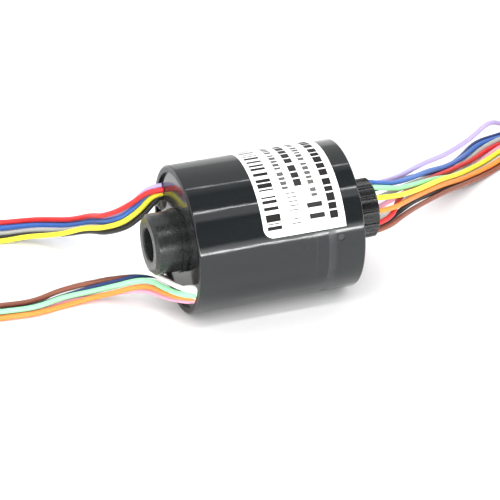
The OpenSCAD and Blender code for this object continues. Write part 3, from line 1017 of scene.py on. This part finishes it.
@dataclass(frozen=True)
class LabelPrint:
    """Bars and plain blocks on the label: laid out flat, then wrapped round the tube by a node tree."""

    radius: float = 11.092
    bar_x: float = -1.0
    bar_width: float = 2.2
    bar_tone: float = 0.95
    bars: tuple[tuple[float, float], ...] = (
        (126, 1.3), (121, 2.6), (116, 4.6), (110, 1.3), (105.5, 2.6), (101, 1.3), (97, 1.3), (92.8, 3.0),
        (87.0, 2.2), (81.9, 2.2), (77.8, 2.6), (71.8, 3.0), (65.4, 3.0), (61, 4.0), (57.1, 1.3), (50.9, 1.3),
        (47.3, 2.6), (42, 2.6), (34.8, 5.6), (30.5, 0.8), (27.3, 2.8))
    rows: tuple[Row, ...] = (
        Row(1.8, 0.95, 116, 55, (3.2, 2.2, 3.6, 2.6), 1.3, 0.55),
        Row(2.4, 1.45, 52, 25, (0.9,), 2.4, 0.6),
        Row(3.85, 1.15, 112, 56, (5.4, 6.4, 5.0, 6.0), 1.2, 0.9),
        Row(5.8, 0.9, 124, 44, (3.2, 2.4, 3.6), 1.3, 0.55),
        Row(8.1, 1.25, 127, 25, (5.6, 4.2, 6.4, 5.0, 5.8), 1.1, 0.95))
    blocks: tuple[Mark, ...] = (Mark(5.5, 2.3, 39.8, 3.8, 0.9), Mark(5.6, 2.3, 31.4, 3.8, 0.9))
    patch_points: ClassVar[tuple[int, int]] = (2, 5)

    def build(self) -> None:
        """Makes the print as one mesh that rides on the stator."""
        mark = add_object("label_print", self._wrap(self._layout()))
        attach(mark, Body.STATOR.value)

    def _layout(self) -> list[Mark]:
        """Lays out the label.

        Returns:
            Every mark on it.
        """
        marks = [Mark(self.bar_x, self.bar_width, angle, sweep, self.bar_tone) for angle, sweep in self.bars]
        for row in self.rows:
            marks += row.marks()
        return marks + list(self.blocks)

    def _wrap(self, marks: Sequence[Mark]) -> bpy.types.Mesh:
        """Runs the node tree over one point for each mark.

        Args:
            marks: The marks.

        Returns:
            The finished mesh.
        """
        flat = bpy.data.meshes.new("print_layout")
        places = [(m.x * MM, math.radians(m.angle - 90) * self.radius * MM, 0.0) for m in marks]
        flat.from_pydata(places, [], [])
        flat.attributes.new("extent", "FLOAT_VECTOR", "POINT")
        flat.attributes.new("tone", "FLOAT", "POINT")
        for i, m in enumerate(marks):
            size = (m.width * MM, math.radians(m.sweep) * self.radius * MM, 1.0)
            flat.attributes["extent"].data[i].vector = size
            flat.attributes["tone"].data[i].value = m.tone
        holder = add_object("print_layout", flat)
        modifier = holder.modifiers.new("wrap", "NODES")
        modifier.node_group, sockets = self._tree()
        modifier[sockets["Radius"]] = self.radius * MM
        modifier[sockets["Ink"]] = Ink().material()
        bpy.context.view_layer.update()
        seen = holder.evaluated_get(bpy.context.evaluated_depsgraph_get())
        mesh = bpy.data.meshes.new_from_object(seen)
        bpy.data.objects.remove(holder)
        return mesh

    @staticmethod
    def _tree() -> tuple[bpy.types.NodeTree, dict[str, str]]:
        """Builds the node tree.

        Returns:
            The tree, and its inputs' identifiers by name.
        """
        tree = bpy.data.node_groups.new("wrapped_print", "GeometryNodeTree")
        face = tree.interface
        face.new_socket("Geometry", in_out="INPUT", socket_type="NodeSocketGeometry")
        radius = face.new_socket("Radius", in_out="INPUT", socket_type="NodeSocketFloat")
        ink = face.new_socket("Ink", in_out="INPUT", socket_type="NodeSocketMaterial")
        face.new_socket("Geometry", in_out="OUTPUT", socket_type="NodeSocketGeometry")
        nodes, links = tree.nodes, tree.links
        source, result = nodes.new("NodeGroupInput"), nodes.new("NodeGroupOutput")
        patch = nodes.new("GeometryNodeMeshGrid")
        patch.inputs["Size X"].default_value = 1.0
        patch.inputs["Size Y"].default_value = 1.0
        patch.inputs["Vertices X"].default_value = LabelPrint.patch_points[0]
        patch.inputs["Vertices Y"].default_value = LabelPrint.patch_points[1]
        extent = nodes.new("GeometryNodeInputNamedAttribute")
        extent.data_type = "FLOAT_VECTOR"
        extent.inputs["Name"].default_value = "extent"
        spread = nodes.new("GeometryNodeInstanceOnPoints")
        links.new(source.outputs["Geometry"], spread.inputs["Points"])
        links.new(patch.outputs["Mesh"], spread.inputs["Instance"])
        links.new(extent.outputs["Attribute"], spread.inputs["Scale"])
        real = nodes.new("GeometryNodeRealizeInstances")
        links.new(spread.outputs["Instances"], real.inputs["Geometry"])
        bent = LabelPrint._bend(nodes, links, source.outputs["Radius"], real.outputs["Geometry"])
        paint = nodes.new("GeometryNodeSetMaterial")
        links.new(bent, paint.inputs["Geometry"])
        links.new(source.outputs["Ink"], paint.inputs["Material"])
        links.new(paint.outputs["Geometry"], result.inputs["Geometry"])
        return tree, {"Radius": radius.identifier, "Ink": ink.identifier}

    @staticmethod
    def _bend(nodes: bpy.types.Nodes, links: bpy.types.NodeLinks, radius: Socket, flat: Socket) -> Socket:
        """Bends flat patches round the X axis.

        Args:
            nodes: The tree's nodes.
            links: The tree's links.
            radius: The radius, in metres.
            flat: The flat patches.

        Returns:
            The bent patches.
        """
        def compute(kind: str, *values: Socket) -> Socket:
            """Adds one Math node.

            Args:
                kind: What it computes.
                values: What it takes.

            Returns:
                Its result.
            """
            node = nodes.new("ShaderNodeMath")
            node.operation = kind
            for i, value in enumerate(values):
                links.new(value, node.inputs[i])
            return node.outputs["Value"]

        place = nodes.new("GeometryNodeInputPosition")
        parts = nodes.new("ShaderNodeSeparateXYZ")
        links.new(place.outputs["Position"], parts.inputs["Vector"])
        angle = compute("DIVIDE", parts.outputs["Y"], radius)
        bent = nodes.new("ShaderNodeCombineXYZ")
        links.new(parts.outputs["X"], bent.inputs["X"])
        links.new(compute("MULTIPLY", compute("SINE", angle), radius), bent.inputs["Y"])
        links.new(compute("MULTIPLY", compute("COSINE", angle), radius), bent.inputs["Z"])
        move = nodes.new("GeometryNodeSetPosition")
        links.new(flat, move.inputs["Geometry"])
        links.new(bent.outputs["Vector"], move.inputs["Position"])
        return move.outputs["Geometry"]


# ---------------------------------------------------------------- CAD pieces and sealant
@dataclass(frozen=True)
class Dressing:
    """The finishes of the CAD nodes that stay in view; a node that isn't named is steel."""

    finishes: tuple[tuple[Finish, tuple[str, ...]], ...] = (
        (TUBE, ("housing", "rear_cover")),
        (PLATE, ("front_cover", "upper_seal")),
        (PAPER, ("label",)),
        (SILICONE, ("lower_seal",)),
        (BARREL, ("insulator_barrel",)),
        (GOLD, ("contact_rings", "rotor_leads", "upper_brushes", "lower_brushes")),
        (BOARD, ("upper_board", "lower_board")),
        (SHAFT, ("rotor_shaft", "retaining_ring", "cover_pins")),
        (BLACK_PLASTIC, ("upper_holder", "lower_holder", "front_cage", "rear_cage", "rear_sleeve",
                         "upper_tie", "lower_tie", "rear_tie")),
    )

    def build(self) -> None:
        """Gives every CAD node its material."""
        by_node = {node: finish for finish, nodes in self.finishes for node in nodes}
        for name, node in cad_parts.items():
            finish = by_node.get(name, STEEL)
            node.data.materials.clear()
            node.data.materials.append(finish.material())
            LOG.info("%s is %s", name, finish.name)


@dataclass(frozen=True)
class TubeShell:
    """The tube as the CAD has it, with a duller finish on its flat rims and in its bore."""

    flat_radius: float = 10.72
    merge: float = 0.0001
    sharp_from: float = 30.0

    def build(self) -> None:
        """Copies the CAD's tube and gives every face inside the flat rims' radius the duller finish."""
        form = bmesh.new()
        form.from_mesh(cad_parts["housing"].data)
        bmesh.ops.remove_doubles(form, verts=form.verts, dist=self.merge * MM)
        for face in form.faces:
            centre = face.calc_center_median() / MM
            face.material_index = int(math.hypot(centre.y, centre.z) < self.flat_radius)
            face.smooth = True
        mesh = bpy.data.meshes.new("tube_shell")
        form.to_mesh(mesh)
        form.free()
        for finish in (TUBE, RIM):
            mesh.materials.append(finish.material())
        mesh.set_sharp_from_angle(angle=math.radians(self.sharp_from))
        shell = add_object("tube_shell", mesh)
        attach(shell, Body.STATOR.value)
        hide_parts("housing")


@dataclass(frozen=True)
class Blob:
    """A lump of sealant on the front plate.

    Its place is an angle round the axis and a radius. Its half sizes run along the axis, outwards and round
    the axis, and it leans towards +Y as it stands out.
    """

    name: str
    angle: float
    radius: float
    half: Point
    unevenness: float
    seed: float
    lean: float
    finish: Finish


@dataclass(frozen=True)
class Sealing:
    """What closes the two windows: white sealant below, a level filling and clear glue above."""

    plate_x: float = -12.2
    sunk: float = 0.2
    fill_lift: float = 0.015
    swell_scale: float = 1.4
    blobs: tuple[Blob, ...] = (
        Blob("lower_sealant", 216.0, 8.8, (2.1, 1.1, 1.75), 0.22, 3.0, 0.55, SEALANT),
        Blob("upper_glue", 12.0, 8.7, (0.75, 0.9, 1.2), 0.22, 8.0, 0.0, ClearGlue()),
    )

    def build(self) -> None:
        """Makes the lumps and the filling, which ride on the stator."""
        for blob in self.blobs:
            self._finish(add_object(blob.name, self._lump(blob)))
        fill = add_object("upper_fill", self._fill())
        self._finish(fill)
        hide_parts("upper_seal")

    @staticmethod
    def _finish(piece: bpy.types.Object) -> None:
        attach(piece, Body.STATOR.value)

    def _lump(self, blob: Blob) -> bpy.types.Mesh:
        """Shapes a ball into an uneven closed lump with its base in the plate.

        Args:
            blob: The lump.

        Returns:
            Its mesh.
        """
        form = bmesh.new()
        bmesh.ops.create_icosphere(form, subdivisions=4, radius=1.0)
        for vertex in form.verts:
            p = vertex.co.copy()
            swell = 1.0 + blob.unevenness * noise.noise(p * self.swell_scale + Vector((blob.seed, 0, 0)))
            x = min(self.plate_x + p.x * blob.half[0] * swell, self.plate_x + self.sunk)
            y, z = turn(blob.radius + p.y * blob.half[1] * swell, p.z * blob.half[2] * swell, blob.angle)
            lean = blob.lean * max(0.0, self.plate_x - x)
            vertex.co = Vector((x, y + lean, z)) * MM
        bmesh.ops.recalc_face_normals(form, faces=form.faces)
        mesh = bpy.data.meshes.new(blob.name)
        form.to_mesh(mesh)
        form.free()
        mesh.shade_smooth()
        mesh.materials.append(blob.finish.material())
        return mesh

    def _fill(self) -> bpy.types.Mesh:
        """Copies the CAD's raised seal and levels it with the plate.

        Returns:
            The filling's mesh.
        """
        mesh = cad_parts["upper_seal"].data.copy()
        mesh.name = "upper_fill"
        for vertex in mesh.vertices:
            if vertex.co.x < (self.plate_x - self.sunk / 2) * MM:
                vertex.co.x = (self.plate_x - self.fill_lift) * MM
        mesh.materials.clear()
        mesh.materials.append(PLATE.material())
        return mesh


def main() -> None:
    """Builds the scene in order: the studio and the leads first, then print, finishes and sealing."""
    for part in (Studio(), Leads(), LabelPrint(), Dressing(), TubeShell(), Sealing()):
        part.build()
        LOG.info("%s is complete", type(part).__name__)


if __name__ == "__main__":
    main()
